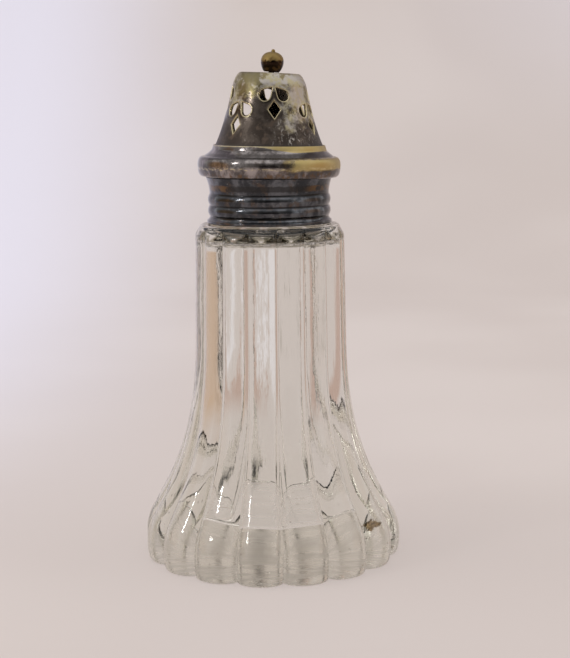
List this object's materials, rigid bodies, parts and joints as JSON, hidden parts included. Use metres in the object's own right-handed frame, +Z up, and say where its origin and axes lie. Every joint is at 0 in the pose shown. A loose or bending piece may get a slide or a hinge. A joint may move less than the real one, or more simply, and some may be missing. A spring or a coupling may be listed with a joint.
{
  "type": "sugar caster",
  "caption": "Ribbed glass sugar caster with a flared foot, a ringed metal collar and a pierced pull-off cover topped by a knob.",
  "frame": {"origin": "centre of the glass foot on the surface that it stands on", "axes": "+Z up along the glass's axis, -Y toward the front, +X to the right seen from the front"},
  "size_m": [0.082, 0.082, 0.1602],
  "materials": {
    "clear_glass": "clear pressed glass, faint grey-green tint",
    "plaster": "dry white plaster",
    "silver_plate": "tarnished silver plate worn to the brass",
    "spring_brass": "dull spring brass",
    "turned_brass": "turned brass, browned"
  },
  "bodies": {
    "base": {"glass_body": "clear_glass", "glass_neck": "clear_glass", "plaster_bed": "plaster", "collar": "silver_plate"},
    "sleeve": {"bezel_sleeve": "spring_brass"},
    "cover": {"cover_girdle": "silver_plate", "pierced_dome": "silver_plate", "finial": "turned_brass", "finial_washer": "turned_brass", "finial_nut": "turned_brass"}
  },
  "joints": [
    {"name": "cover_lift", "type": "slide", "parent": "base", "child": "sleeve", "axis": [0, 0, 1], "range_m": [0, 0.03]},
    {"name": "cover_turn", "type": "hinge", "parent": "sleeve", "child": "cover", "pos_m": [0, 0, 0.12175], "axis": [0.0175, 0, 0.9998], "continuous": true}
  ]
}
